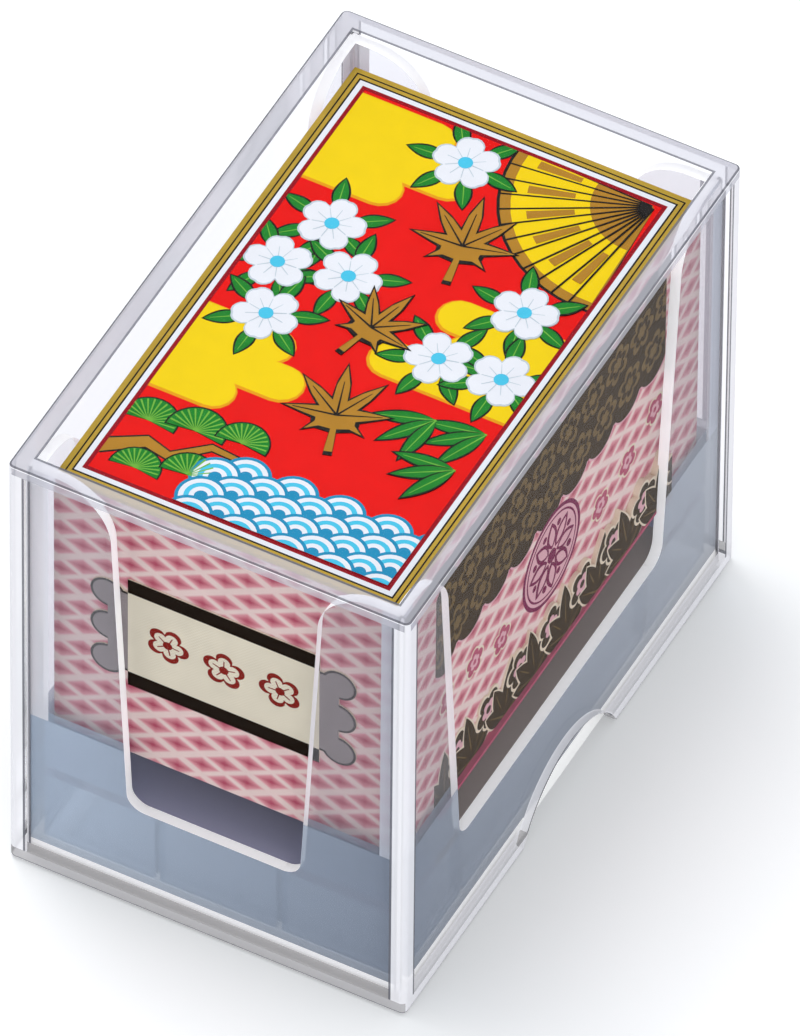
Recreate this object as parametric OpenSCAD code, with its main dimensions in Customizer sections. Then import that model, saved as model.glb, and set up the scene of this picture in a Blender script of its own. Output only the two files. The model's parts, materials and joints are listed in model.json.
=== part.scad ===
// Flower card deck in its clear display case.
// A lift-off cover stands over an open-sided tray, and the tray carries the wrapped deck on a pedestal.
// Inside the printed paper jacket lie the loose cards, face down, one node each.
// Millimetres, +Z up, X across the cards, Y along them, origin at the centre of the base.

/* [Cards] */
// Width of a card
card_w = 32.8; // [30:0.1:36]
// Length of a card
card_l = 53.8; // [50:0.1:60]
// Height of the whole stack of cards
stack_h = 31.1; // [28:0.1:34]
// Corner radius of a card
card_corner = 0.9; // [0.3:0.1:2]
// Air between two cards that lie on each other
card_air = 0.005; // [0:0.005:0.05]

/* [Paper jacket] */
// Thickness of the jacket's paper
paper_t = 0.2; // [0.1:0.05:0.4]
// Clearance between the cards and the jacket, on each side
paper_clearance = 0.1; // [0.05:0.05:0.3]

/* [Labels] */
// Thickness of the label that covers the jacket's top
top_label_t = 0.45; // [0.2:0.05:0.8]
// Thickness of the label on the jacket's front end
end_label_t = 0.15; // [0.1:0.05:0.3]
// Width of the end label's plain panel
end_label_w = 18.8; // [14:0.1:22]
// Height of the end label's panel with its two bands
end_label_h = 13.5; // [10:0.1:18]
// Reach of the scalloped wing on each side of the panel
end_wing_reach = 3.6; // [2:0.1:5]
// Radius of the lobes that make a wing's scalloped edge
end_wing_lobe = 1.7; // [1:0.1:2]

/* [Tray] */
// Thickness of the tray's walls
tray_wall = 1; // [0.8:0.05:1.4]
// Gap between the jacket and each long wall of the tray
side_clearance = 0.45; // [0.15:0.05:1]
// Gap between the jacket and each end wall of the tray
end_clearance = 0.95; // [0.4:0.05:2]
// Height of the open skirt below the raised floor
skirt_h = 10; // [7:0.1:14]
// Thickness of the raised floor
floor_t = 1.2; // [0.8:0.1:2]
// Height of the pedestal that lifts the deck off the floor
pedestal_h = 4.8; // [4.5:0.1:8]
// Width of the pedestal
pedestal_w = 21; // [16:0.5:25]
// Length of the pedestal
pedestal_l = 42; // [34:0.5:46]
// Thickness of the hollow pedestal's walls and top
pedestal_wall = 1.2; // [0.8:0.1:2]
// Height of the thick rim that the tray stands on
foot_h = 2; // [1.5:0.1:3]
// How far the foot rim reaches inwards from the wall
foot_reach = 1; // [0.6:0.1:1.5]
// Thickness of the stiffening ribs inside the skirt
rib_t = 0.6; // [0.5:0.1:1.2]
// Distance between the two ribs on each end wall
end_rib_pitch = 12; // [8:0.5:15]
// Distance between the two ribs on each long wall
side_rib_pitch = 34; // [24:0.5:40]

/* [Finger gaps] */
// Width of the gap in each end wall, at the floor
end_foot_w = 17.1; // [14:0.1:18]
// Width of the gap in each end wall, below its flare
end_head_w = 20.1; // [18.5:0.1:21]
// Width of the gap in each long wall, at the floor
side_foot_w = 37.6; // [32:0.1:39]
// Width of the gap in each long wall, below its flare
side_head_w = 42.6; // [39.5:0.1:43]
// Radius of the flare at the top of each gap
flare_r = 5.5; // [4:0.1:5.5]
// Radius of the two corners at the floor
gap_corner = 1.8; // [1:0.1:3]

/* [Cover] */
// Thickness of the cover's walls
cover_wall = 1.2; // [0.8:0.05:1.4]
// Thickness of the cover's top
ceiling_t = 1.1; // [0.8:0.1:2]
// Gap between the cover and the tray, on each side
cover_clearance = 0.2; // [0.1:0.05:0.4]
// Space between the top label and the cover's top
head_room = 1.8; // [0.5:0.1:4]
// Height of the cover's rim above the table
rim_lift = 0.3; // [0.1:0.1:0.6]
// Outer corner radius of the cover
cover_corner = 0.6; // [0.4:0.1:2]
// Width of the thumb notch in each long side, at the rim
notch_w = 17; // [12:0.5:20]
// Height of the thumb notch
notch_h = 5.5; // [4:0.1:7]

/* [Hidden] */
$fn = 64;
// Flower suits from the top of the deck down, four cards each, over one spare card
suits = [
    "pine", "plum", "cherry", "wisteria", "iris", "peony",
    "clover", "pampas", "chrysanthemum", "maple", "willow", "paulownia"
];
cards_per_suit = 4;
suit_card_count = len(suits) * cards_per_suit;
card_count = suit_card_count + 1;

function card_name(suit, number) = str("card_", suits[suit], "_", number);
// Place of a card in the stack, counted up from the spare card, which is 0
function stack_place(suit, number) = suit_card_count - suit * cards_per_suit - (number - 1);

// Overshoot of a cut past the face that it opens
over = 1;

// Heights, from the table up
floor_top = skirt_h + floor_t;
deck_z = floor_top + pedestal_h;
post_z = floor_top + gap_corner;
card_pitch = (stack_h + card_air) / card_count;
card_t = card_pitch - card_air;
cards_top = deck_z + stack_h;
jacket_top = cards_top + paper_t;
label_top = jacket_top + top_label_t;
ceiling_z = label_top + head_room;
case_top = ceiling_z + ceiling_t;
end_label_z = (deck_z + jacket_top) / 2;

// Footprints, from the cards out
jacket_in_w = card_w + 2 * paper_clearance;
jacket_in_l = card_l + 2 * paper_clearance;
jacket_w = jacket_in_w + 2 * paper_t;
jacket_l = jacket_in_l + 2 * paper_t;
well_w = jacket_w + 2 * side_clearance;
well_l = jacket_l + 2 * end_clearance;
tray_w = well_w + 2 * tray_wall;
tray_l = well_l + 2 * tray_wall;
cover_in_w = tray_w + 2 * cover_clearance;
cover_in_l = tray_l + 2 * cover_clearance;
case_w = cover_in_w + 2 * cover_wall;
case_l = cover_in_l + 2 * cover_wall;
cover_in_corner = max(cover_corner - cover_wall, cover_clearance);
tray_corner = max(cover_in_corner - cover_clearance, cover_clearance);

clear_plastic = [0.80, 0.87, 0.94, 0.35];
card_back_red = [0.42, 0.13, 0.09];
spare_back_red = [0.48, 0.17, 0.12];
jacket_pink = [0.88, 0.58, 0.62];
label_red = [0.83, 0.10, 0.06];
label_cream = [0.93, 0.88, 0.74];

// Shared shapes

module rounded_plate(w, l, r) {
    square([w - 2 * r, l], center = true);
    square([w, l - 2 * r], center = true);
    for (x = [-1, 1], y = [-1, 1])
        translate([x * (w / 2 - r), y * (l / 2 - r)])
            circle(r);
}

module rounded_block(w, l, r, z0, z1) {
    translate([0, 0, z0])
        linear_extrude(z1 - z0)
            rounded_plate(w, l, r);
}

module block(w, l, z0, z1) {
    translate([-w / 2, -l / 2, z0])
        cube([w, l, z1 - z0]);
}

// Two copies, one at each end of the Y axis
module both_ends() {
    children();
    rotate(180) children();
}

// Tray

// Outline of a finger gap: tapered sides, round corners at the floor and round shoulders at the top
module finger_gap_outline(foot_w, head_w) {
    flare_z = ceiling_z - flare_r;
    mouth_w = head_w + 2 * flare_r;
    polygon([
        [-foot_w / 2, floor_top + gap_corner],
        [foot_w / 2, floor_top + gap_corner],
        [head_w / 2, flare_z],
        [-head_w / 2, flare_z]
    ]);
    translate([-foot_w / 2 + gap_corner, floor_top])
        square([foot_w - 2 * gap_corner, gap_corner]);
    for (side = [-1, 1])
        translate([side * (foot_w / 2 - gap_corner), floor_top + gap_corner])
            circle(gap_corner);
    difference() {
        translate([-mouth_w / 2, flare_z])
            square([mouth_w, flare_r + over]);
        for (side = [-1, 1])
            translate([side * mouth_w / 2, flare_z])
                circle(flare_r);
    }
}

// Cuts a finger gap through the wall that stands at -Y, wall_y from the centre
module finger_gap(foot_w, head_w, wall_y) {
    translate([0, -wall_y + tray_wall, 0])
        rotate([90, 0, 0])
            linear_extrude(tray_wall + over)
                finger_gap_outline(foot_w, head_w);
}

// Two ribs on the inside of the skirt wall that stands at -Y, wall_y from the centre
module skirt_ribs(pitch, wall_y) {
    for (side = [-1, 1])
        translate([side * pitch / 2 - rib_t / 2, -wall_y + tray_wall, foot_h])
            cube([rib_t, foot_reach, skirt_h - foot_h]);
}

module finger_gaps() {
    both_ends() finger_gap(end_foot_w, end_head_w, tray_l / 2);
    both_ends() rotate(90) finger_gap(side_foot_w, side_head_w, tray_w / 2);
}

// Tray up to the round corners of its finger gaps, where the corner posts go on
module inner_tray() {
    color(clear_plastic)
        difference() {
            union() {
                difference() {
                    rounded_block(tray_w, tray_l, tray_corner, 0, post_z);
                    block(well_w, well_l, floor_top, post_z + over);
                    block(well_w, well_l, foot_h, skirt_h);
                    block(well_w - 2 * foot_reach, well_l - 2 * foot_reach, -over, foot_h + over);
                }
                block(pedestal_w, pedestal_l, skirt_h, deck_z);
                both_ends() skirt_ribs(end_rib_pitch, tray_l / 2);
                both_ends() rotate(90) skirt_ribs(side_rib_pitch, tray_w / 2);
            }
            block(
                pedestal_w - 2 * pedestal_wall, pedestal_l - 2 * pedestal_wall,
                skirt_h - over, deck_z - pedestal_wall
            );
            finger_gaps();
        }
}

// Four corner posts of the same moulding
module tray_posts() {
    color(clear_plastic)
        difference() {
            rounded_block(tray_w, tray_l, tray_corner, post_z, ceiling_z);
            block(well_w, well_l, post_z - over, ceiling_z + over);
            finger_gaps();
        }
}

// Cover

// Round segment cut out of the rim on both long sides
module thumb_notches() {
    notch_r = notch_w * notch_w / (8 * notch_h) + notch_h / 2;
    translate([-case_w / 2 - over, 0, rim_lift + notch_h - notch_r])
        rotate([0, 90, 0])
            cylinder(h = case_w + 2 * over, r = notch_r);
}

module case_cover() {
    color(clear_plastic)
        difference() {
            rounded_block(case_w, case_l, cover_corner, rim_lift, case_top);
            rounded_block(cover_in_w, cover_in_l, cover_in_corner, rim_lift - over, ceiling_z);
            thumb_notches();
        }
}

// Deck

module card(place, back) {
    card_z = deck_z + place * card_pitch;
    color(back)
        rounded_block(card_w, card_l, card_corner, card_z, card_z + card_t);
}

module spare_card() {
    card(0, spare_back_red);
}

// Paper sleeve, closed on top and open below, that stands over the stack
module paper_jacket() {
    color(jacket_pink)
        difference() {
            block(jacket_w, jacket_l, deck_z, jacket_top);
            block(jacket_in_w, jacket_in_l, deck_z - over, cards_top);
        }
}

module top_label() {
    color(label_red)
        block(jacket_w, jacket_l, jacket_top, label_top);
}

// Outline of the end label: a plain panel with a three-lobed wing on each side
module end_label_outline() {
    square([end_label_w, end_label_h], center = true);
    for (side = [-1, 1]) {
        lobe_x = side * (end_label_w / 2 + end_wing_reach - end_wing_lobe);
        lobe_y = end_label_h / 2 - end_wing_lobe;
        translate([side * (end_label_w + end_wing_reach - end_wing_lobe) / 2, 0])
            square([end_wing_reach - end_wing_lobe, 2 * lobe_y], center = true);
        for (row = [-1 : 1])
            translate([lobe_x, row * (lobe_y - end_wing_lobe / 2)])
                circle(end_wing_lobe);
    }
}

module end_label() {
    color(label_cream)
        translate([0, -jacket_l / 2, end_label_z])
            rotate([90, 0, 0])
                linear_extrude(end_label_t)
                    end_label_outline();
}

inner_tray();
tray_posts();
case_cover();
paper_jacket();
top_label();
end_label();
spare_card();
for (s = [0 : len(suits) - 1], n = [1 : cards_per_suit])
    card(stack_place(s, n), card_back_red);
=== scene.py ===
# Looks of a flower card deck in its clear case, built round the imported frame.
import json
import math

import bmesh
import bpy
from mathutils import Matrix, Vector
from mathutils.geometry import tessellate_polygon


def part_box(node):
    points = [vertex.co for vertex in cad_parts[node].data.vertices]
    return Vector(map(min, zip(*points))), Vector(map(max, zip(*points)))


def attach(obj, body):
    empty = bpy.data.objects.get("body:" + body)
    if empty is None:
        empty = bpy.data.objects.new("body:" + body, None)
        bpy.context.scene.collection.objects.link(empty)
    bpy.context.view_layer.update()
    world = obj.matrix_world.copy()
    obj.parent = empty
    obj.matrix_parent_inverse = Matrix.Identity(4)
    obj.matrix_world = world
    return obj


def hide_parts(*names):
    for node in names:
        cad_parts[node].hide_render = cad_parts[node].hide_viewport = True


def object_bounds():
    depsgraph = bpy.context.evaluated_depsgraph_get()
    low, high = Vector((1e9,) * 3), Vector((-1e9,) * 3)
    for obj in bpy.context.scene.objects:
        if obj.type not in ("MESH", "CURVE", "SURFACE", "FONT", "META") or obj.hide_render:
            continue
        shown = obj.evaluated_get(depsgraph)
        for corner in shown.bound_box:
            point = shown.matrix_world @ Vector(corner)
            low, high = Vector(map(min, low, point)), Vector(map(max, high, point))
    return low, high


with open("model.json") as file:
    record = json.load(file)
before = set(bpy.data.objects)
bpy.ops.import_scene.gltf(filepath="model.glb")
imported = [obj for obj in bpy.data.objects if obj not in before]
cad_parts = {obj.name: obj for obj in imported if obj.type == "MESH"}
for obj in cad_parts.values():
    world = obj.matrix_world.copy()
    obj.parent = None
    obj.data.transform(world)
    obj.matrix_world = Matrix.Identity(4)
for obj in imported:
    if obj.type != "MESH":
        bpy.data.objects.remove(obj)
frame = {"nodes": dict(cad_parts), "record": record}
cadLow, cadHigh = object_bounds()
cadNodes = frame["nodes"]
mm = 0.001
print("frame loaded,", len(cadNodes), "nodes")

# Helpers for objects and nodes


def addObject(name, data, materials=()):
    for mat in materials:
        data.materials.append(mat)
    made = bpy.data.objects.new(name, data)
    bpy.context.scene.collection.objects.link(made)
    return made


# Sets a node's inputs to numbers or colours, or links them to a socket or a node's first output
def feed(tree, node, sources):
    for label, value in sources.items():
        if isinstance(value, (int, float)):
            node.inputs[label].default_value = value
        elif isinstance(value, tuple):
            node.inputs[label].default_value = (*value, 1)
        else:
            socket = value.outputs[0] if isinstance(value, bpy.types.Node) else value
            tree.links.new(socket, node.inputs[label])


def newNode(tree, kind, sources, operation=None):
    made = tree.nodes.new(kind)
    if operation:
        made.operation = operation
    feed(tree, made, sources)
    return made


def mathNode(tree, operation, a, b=0.0, c=0.0, clamp=False):
    made = newNode(tree, "ShaderNodeMath", {0: a, 1: b, 2: c}, operation)
    made.use_clamp = clamp
    return made.outputs[0]


def blendColour(tree, factor, a, b):
    made = tree.nodes.new("ShaderNodeMix")
    made.data_type = "RGBA"
    feed(tree, made, {0: factor, 6: a, 7: b})  # the colour sockets come after the plain ones
    return made.outputs[2]


def noise(tree, where, scale, detail=3.0, rough=0.55):
    made = newNode(tree, "ShaderNodeTexNoise", {
        "Vector": where, "Scale": scale, "Detail": detail, "Roughness": rough})
    return made.outputs["Fac"]


def objectPlace(tree):
    return tree.nodes.new("ShaderNodeTexCoord").outputs["Object"]


def objectParts(tree):
    return newNode(tree, "ShaderNodeSeparateXYZ", {0: objectPlace(tree)}).outputs


def nodeGroup(name, inputs, outputs, kind="ShaderNodeTree"):
    tree = bpy.data.node_groups.new(name, kind)
    for label, holds, value in inputs:
        socket = tree.interface.new_socket(label, in_out="INPUT", socket_type="NodeSocket" + holds)
        socket.default_value = value
    for label, holds in outputs:
        tree.interface.new_socket(label, in_out="OUTPUT", socket_type="NodeSocket" + holds)
    return tree, tree.nodes.new("NodeGroupInput").outputs, tree.nodes.new("NodeGroupOutput")


def newMaterial(name):
    mat = bpy.data.materials.new(name)
    mat.use_nodes = True
    return mat, mat.node_tree, mat.node_tree.nodes["Principled BSDF"]


def feedBump(tree, shader, height, strength, distance):
    bump = newNode(tree, "ShaderNodeBump", {"Height": height, "Strength": strength, "Distance": distance})
    feed(tree, shader, {"Normal": bump})


# Camera and studio

photoView = {
    "azimuth": 27.77,  # degrees round from the labelled end
    "elevation": 47.81,
    "roll": 0.57,
    "distance": 2.6,  # m, far off as with a long lens
    "lens": 1041.6,  # mm on a 36 mm tall frame
    "aimRight": 2.21,  # mm from the middle of the case to the middle of the picture
    "aimUp": -0.52,
}


def makeCamera(view):
    a = math.radians(view["azimuth"])
    e = math.radians(view["elevation"])
    back = Vector((math.sin(a) * math.cos(e), -math.cos(a) * math.cos(e), math.sin(e)))
    turn = (-back).to_track_quat("-Z", "Y").to_matrix()
    turn = turn @ Matrix.Rotation(math.radians(view["roll"]), 3, "Z")
    middle = (cadLow + cadHigh) / 2
    aim = middle + turn @ Vector((view["aimRight"], view["aimUp"], 0)) * mm
    camera = addObject("camera", bpy.data.cameras.new("camera"))
    camera.data.lens = view["lens"]
    camera.data.clip_start = 0.1
    camera.data.clip_end = 20
    camera.matrix_world = Matrix.Translation(aim + back * view["distance"]) @ turn.to_4x4()
    bpy.context.scene.camera = camera


studio = {
    "keyPower": 2.5, "keySize": 0.42, "keyPlace": (-0.28, 0.08, 0.74),  # soft key from the upper left
    "fillPower": 1.2, "fillSize": 0.7, "fillPlace": (0.5, -0.55, 0.45),
    "lampAim": (0, 0, 0.02),
    "skyLight": 0.67, "skyTint": (0.90, 0.95, 1.0),
    "floorColour": (0.96, 0.96, 0.96), "floorRough": 0.9,
    "floorWhite": 0.22,  # lifts the pale floor to white where the camera sees it
    "floorReach": 0.45,  # m, as it would look grey further off
    "lightBounces": 28,  # the clear walls pipe light along their whole height
}


def areaLamp(name, power, size, place, aim):
    lamp = addObject(name, bpy.data.lights.new(name, "AREA"))
    lamp.data.energy = power
    lamp.data.size = size
    lamp.location = place
    lamp.rotation_euler = (Vector(aim) - Vector(place)).to_track_quat("-Z", "Y").to_euler()


# One where the camera sees a surface by itself, in a mirror or through glass
def seenDirectly(tree):
    path = tree.nodes.new("ShaderNodeLightPath").outputs
    mirrored = mathNode(tree, "MAXIMUM", path["Is Camera Ray"], path["Is Glossy Ray"])
    return mathNode(tree, "MAXIMUM", mirrored, path["Is Transmission Ray"])


def makeSky(s):
    world = bpy.data.worlds.new("studio")
    bpy.context.scene.world = world
    world.use_nodes = True
    tree = world.node_tree
    tree.nodes.clear()
    sky = newNode(tree, "ShaderNodeBackground", {"Color": s["skyTint"], "Strength": s["skyLight"]})
    white = newNode(tree, "ShaderNodeBackground", {"Color": (1, 1, 1)})
    mix = newNode(tree, "ShaderNodeMixShader", {0: seenDirectly(tree), 1: sky, 2: white})
    newNode(tree, "ShaderNodeOutputWorld", {0: mix})


def makeFloor(s):
    reach = s["floorReach"]
    mesh = bpy.data.meshes.new("floor")
    corners = [(-reach, -reach, 0), (reach, -reach, 0), (reach, reach, 0), (-reach, reach, 0)]
    mesh.from_pydata(corners, [], [(0, 1, 2, 3)])
    paint, tree, shader = newMaterial("pale floor")
    feed(tree, shader, {
        "Base Color": s["floorColour"], "Roughness": s["floorRough"], "Specular IOR Level": 0.0})
    lift = mathNode(tree, "MULTIPLY", seenDirectly(tree), s["floorWhite"])
    glow = newNode(tree, "ShaderNodeEmission", {"Strength": lift})
    both = newNode(tree, "ShaderNodeAddShader", {0: shader, 1: glow})
    feed(tree, tree.nodes["Material Output"], {"Surface": both})
    floor = addObject("floor", mesh, [paint])


def makeStudio(s):
    for lamp in ("key", "fill"):
        areaLamp(lamp + " lamp", s[lamp + "Power"], s[lamp + "Size"], s[lamp + "Place"], s["lampAim"])
    makeSky(s)
    makeFloor(s)
    for limit in ("max_bounces", "transmission_bounces", "transparent_max_bounces"):
        setattr(bpy.context.scene.cycles, limit, s["lightBounces"])


makeCamera(photoView)
makeStudio(studio)
bpy.context.scene.view_settings.view_transform = "Standard"
print("camera and studio ready")

# Ink on paper: mottled colour, fine fibres in the height and a slightly uneven gloss

inkLook = {
    "patchScale": 420.0, "fibreScale": 5200.0,  # noise cells in a metre
    "patchShare": 0.7,  # of the mottle; the rest is fibre
    "fullInk": 0.62,  # noise that leaves the ink as it is
    "depth": 2.0, "glossSpread": 0.16,
    "bump": 0.25, "fibreHeight": 0.01,  # mm
}


def makeInkGroup(look):
    tree, given, out = nodeGroup(
        "ink on paper",
        [("Ink", "Color", (1, 0, 0, 1)), ("Mottle", "Float", 0.1), ("Gloss", "Float", 0.4)],
        [("Colour", "Color"), ("Roughness", "Float"), ("Height", "Float")])
    where = objectPlace(tree)
    patch = noise(tree, where, look["patchScale"])
    fibre = noise(tree, where, look["fibreScale"], 2.0)
    fine = mathNode(tree, "MULTIPLY", fibre, 1 - look["patchShare"])
    shade = mathNode(tree, "MULTIPLY_ADD", patch, look["patchShare"], fine)
    less = mathNode(tree, "SUBTRACT", look["fullInk"], shade)
    darker = mathNode(tree, "MULTIPLY", less, given["Mottle"])
    value = mathNode(tree, "SUBTRACT", 1.0, mathNode(tree, "MULTIPLY", darker, look["depth"]))
    scaled = newNode(tree, "ShaderNodeVectorMath", {0: given["Ink"], "Scale": value}, "SCALE")
    smoothest = mathNode(tree, "SUBTRACT", given["Gloss"], look["glossSpread"] / 2)
    uneven = mathNode(tree, "MULTIPLY_ADD", fibre, look["glossSpread"], smoothest)
    feed(tree, out, {"Colour": scaled, "Roughness": uneven, "Height": fibre})
    return tree


inkGroup = makeInkGroup(inkLook)


# The colour is three numbers, or a function that adds nodes for it
def printInk(name, colour, mottle=0.12, gloss=0.42, shine=0.1):
    mat, tree, shader = newMaterial(name)
    ink = tree.nodes.new("ShaderNodeGroup")
    ink.node_tree = inkGroup
    if not isinstance(colour, tuple):
        colour = colour(tree)
    feed(tree, ink, {"Ink": colour, "Mottle": mottle, "Gloss": gloss})
    feed(tree, shader, {
        "Base Color": ink.outputs["Colour"], "Roughness": ink.outputs["Roughness"],
        "Specular IOR Level": shine})
    feedBump(tree, shader, ink.outputs["Height"], inkLook["bump"], inkLook["fibreHeight"] * mm)
    return mat


# Ink that mirrors nothing, as on the jacket and the end label
def mattInk(name, colour, mottle, gloss=0.55):
    return printInk(name, colour, mottle, gloss, 0.0)


# Clear polystyrene

clearLook = {
    "ior": 1.05,  # low, so that the walls mirror little of the white floor
    "rough": 0.015,
    "smearScale": 130.0, "smearFrom": 0.55, "smudge": 0.05,  # handling marks
    "flowScale": 60.0, "flowHeight": 0.2, "waviness": 0.04,  # flow lines of a moulding, in mm
    "grazing": 0.25,
}


def makeMouldGroup(look):
    tree, given, out = nodeGroup(
        "moulded clear wall",
        [("Rough", "Float", 0.02), ("Smudge", "Float", 0.05)],
        [("Roughness", "Float"), ("Height", "Float")])
    where = objectPlace(tree)
    smear = noise(tree, where, look["smearScale"], 4.0)
    spots = mathNode(tree, "SUBTRACT", smear, look["smearFrom"], clamp=True)
    rough = mathNode(tree, "MULTIPLY_ADD", spots, given["Smudge"], given["Rough"])
    feed(tree, out, {"Roughness": rough, "Height": noise(tree, where, look["flowScale"], 2.0)})
    return tree


mouldGroup = makeMouldGroup(clearLook)


# The tint can fade to another at grazing angles, towards the right and towards the back, as painted shade,
# and glow paints a highlight as if the surface gave light
def clearPlastic(name, tint, clear=1.0, rough=clearLook["rough"], glow=0.0,
                 grazing=None, right=None, back=None):
    mat, tree, shader = newMaterial(name)
    mould = tree.nodes.new("ShaderNodeGroup")
    mould.node_tree = mouldGroup
    feed(tree, mould, {"Rough": rough, "Smudge": clearLook["smudge"]})
    colour = tint
    if grazing:
        facing = newNode(tree, "ShaderNodeLayerWeight", {"Blend": clearLook["grazing"]})
        colour = blendColour(tree, facing.outputs["Facing"], tint, grazing)
    for axis, other in enumerate((right, back)):
        if other:
            size = cadHigh[axis] - cadLow[axis]
            share = mathNode(tree, "MULTIPLY_ADD", objectParts(tree)[axis], 1 / size, 0.5, clamp=True)
            colour = blendColour(tree, share, colour, other)
    feed(tree, shader, {
        "Base Color": colour, "Roughness": mould.outputs["Roughness"], "IOR": clearLook["ior"],
        "Transmission Weight": clear, "Emission Color": tint, "Emission Strength": glow})
    feedBump(tree, shader, mould.outputs["Height"], clearLook["waviness"], clearLook["flowHeight"] * mm)
    shadow = tuple(math.sqrt(v * clear) for v in tint)
    passing = newNode(tree, "ShaderNodeBsdfTransparent", {"Color": shadow})
    path = tree.nodes.new("ShaderNodeLightPath").outputs
    soft = mathNode(tree, "MAXIMUM", path["Is Shadow Ray"], path["Is Diffuse Ray"])
    mix = newNode(tree, "ShaderNodeMixShader", {0: soft, 1: shader, 2: passing})
    feed(tree, tree.nodes["Material Output"], {"Surface": mix})
    return mat


# Mesh helpers


def applyModifiers(piece):
    graph = bpy.context.evaluated_depsgraph_get()
    made = bpy.data.meshes.new_from_object(piece.evaluated_get(graph))
    piece.modifiers.clear()
    piece.data = made


# A merged copy of CAD solids with the edges rounded over; seam is the height where two of them join

softEdge = {
    "weld": 0.001,  # mm
    "flatAngle": 0.4, "bevelAngle": 32,  # degrees
    "flatNormal": 0.9995,  # faces that look straight along an axis are shaded flat
}


def softCopy(nodes, name, width, materials, segments=2, seam=None):
    weld = softEdge["weld"] * mm
    shape = bmesh.new()
    for node in nodes:
        shape.from_mesh(cadNodes[node].data)
    bmesh.ops.remove_doubles(shape, verts=shape.verts, dist=weld)
    if seam is not None:
        inside = [f for f in shape.faces if all(abs(v.co.z - seam) < weld for v in f.verts)]
        bmesh.ops.delete(shape, geom=inside, context="FACES")
    flat = math.radians(softEdge["flatAngle"])
    bmesh.ops.dissolve_limit(shape, angle_limit=flat, verts=shape.verts, edges=shape.edges)
    for face in shape.faces:
        face.material_index = 0
    mesh = bpy.data.meshes.new(name)
    shape.to_mesh(mesh)
    openEdges = sum(1 for e in shape.edges if not e.is_manifold)
    print(name, "has", len(shape.faces), "faces and", openEdges, "open edges")
    shape.free()
    piece = addObject(name, mesh, materials)
    bevel = piece.modifiers.new("soft edges", "BEVEL")
    bevel.width = width * mm
    bevel.segments = segments
    bevel.limit_method = "ANGLE"
    bevel.angle_limit = math.radians(softEdge["bevelAngle"])
    applyModifiers(piece)
    for face in piece.data.polygons:
        face.use_smooth = max(abs(v) for v in face.normal) < softEdge["flatNormal"]
    return piece


# A cut across an axis; with a side of 1 or -1, what lies past it goes and the cut is closed
def cutAcross(shape, axis, value, side=0, near=0.0005 * mm):
    place = Vector((0, 0, 0))
    place[axis] = value
    normal = Vector((0, 0, 0))
    normal[axis] = side or 1
    geom = shape.verts[:] + shape.edges[:] + shape.faces[:]
    bmesh.ops.bisect_plane(shape, geom=geom, dist=near, plane_co=place, plane_no=normal,
                           clear_outer=side != 0)
    if side:
        bmesh.ops.holes_fill(shape, edges=[e for e in shape.edges if e.is_boundary], sides=0)


# Flat print: outlines in millimetres in drawing order, each a thin closed plate above those that it covers

inkLift = 0.005  # mm between two layers of ink
nearestPoints = 0.004  # mm
leastArea = 0.002  # square mm


def clipOutline(points, half):
    for axis in (0, 1):
        for sign in (1, -1):
            limit = -sign * half[axis]
            kept = []
            for i, here in enumerate(points):
                last = points[i - 1]
                inHere = sign * (here[axis] - limit) >= 0
                inLast = sign * (last[axis] - limit) >= 0
                if inHere != inLast:
                    t = (limit - last[axis]) / (here[axis] - last[axis])
                    kept.append((last[0] + t * (here[0] - last[0]), last[1] + t * (here[1] - last[1])))
                if inHere:
                    kept.append(here)
            points = kept
            if len(points) < 3:
                return []
    return points


def turned(a, b, c):
    return (b[0] - a[0]) * (c[1] - a[1]) - (b[1] - a[1]) * (c[0] - a[0])


def tidyOutline(points):
    kept = []
    for p in points:
        if not kept or math.dist(p, kept[-1]) > nearestPoints:
            kept.append(p)
    if len(kept) > 2 and math.dist(kept[0], kept[-1]) <= nearestPoints:
        kept.pop()
    area = sum(p[0] * q[1] - q[0] * p[1] for p, q in zip(kept, kept[1:] + kept[:1])) / 2
    if abs(area) < leastArea:
        return []
    return kept if area > 0 else kept[::-1]


# A layer for each outline, one above the highest of the earlier ones under it
def stackLayers(outlines, first):
    boxes, layers = [], []
    for outline in outlines:
        us = [p[0] for p in outline]
        vs = [p[1] for p in outline]
        box = (min(us), min(vs), max(us), max(vs))
        layer = first
        for other, its in zip(boxes, layers):
            if box[0] < other[2] and other[0] < box[2] and box[1] < other[3] and other[1] < box[3]:
                layer = max(layer, its + 1)
        boxes.append(box)
        layers.append(layer)
    return layers


def buildPrint(name, shapes, inks, middle, right, up, half, firstLayer=1):
    slots = list(inks)
    outward = right.cross(up)
    shapes = [(ink, tidyOutline(clipOutline(outline, half))) for ink, outline in shapes]
    shapes = [(ink, flat) for ink, flat in shapes if len(flat) > 2]
    layers = stackLayers([flat for ink, flat in shapes], firstLayer)
    points, faces, colours = [], [], []
    for (ink, flat), layer in zip(shapes, layers):
        start = len(points)
        count = len(flat)
        for lift in (-0.5 * inkLift, layer * inkLift):
            points += [middle + (right * u + up * v + outward * lift) * mm for u, v in flat]
        made = []
        for a, b, c in tessellate_polygon([[Vector((u, v, 0)) for u, v in flat]]):
            if turned(flat[a], flat[b], flat[c]) < 0:
                b, c = c, b
            made.append((start + count + a, start + count + b, start + count + c))
            made.append((start + a, start + c, start + b))
        for i in range(count):
            j = (i + 1) % count
            made.append((start + i, start + j, start + count + j, start + count + i))
        faces += made
        colours += [slots.index(ink)] * len(made)
    mesh = bpy.data.meshes.new(name)
    mesh.from_pydata(points, [], faces)
    piece = addObject(name, mesh, inks.values())
    mesh.polygons.foreach_set("material_index", colours)
    mesh.validate()
    print(name, "has", len(shapes), "printed shapes in", max(layers), "layers,", len(faces), "faces")
    return piece


# Rows of discs by geometry nodes, every second row shifted, each row a little lower than the one before

discSides = 28


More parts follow.
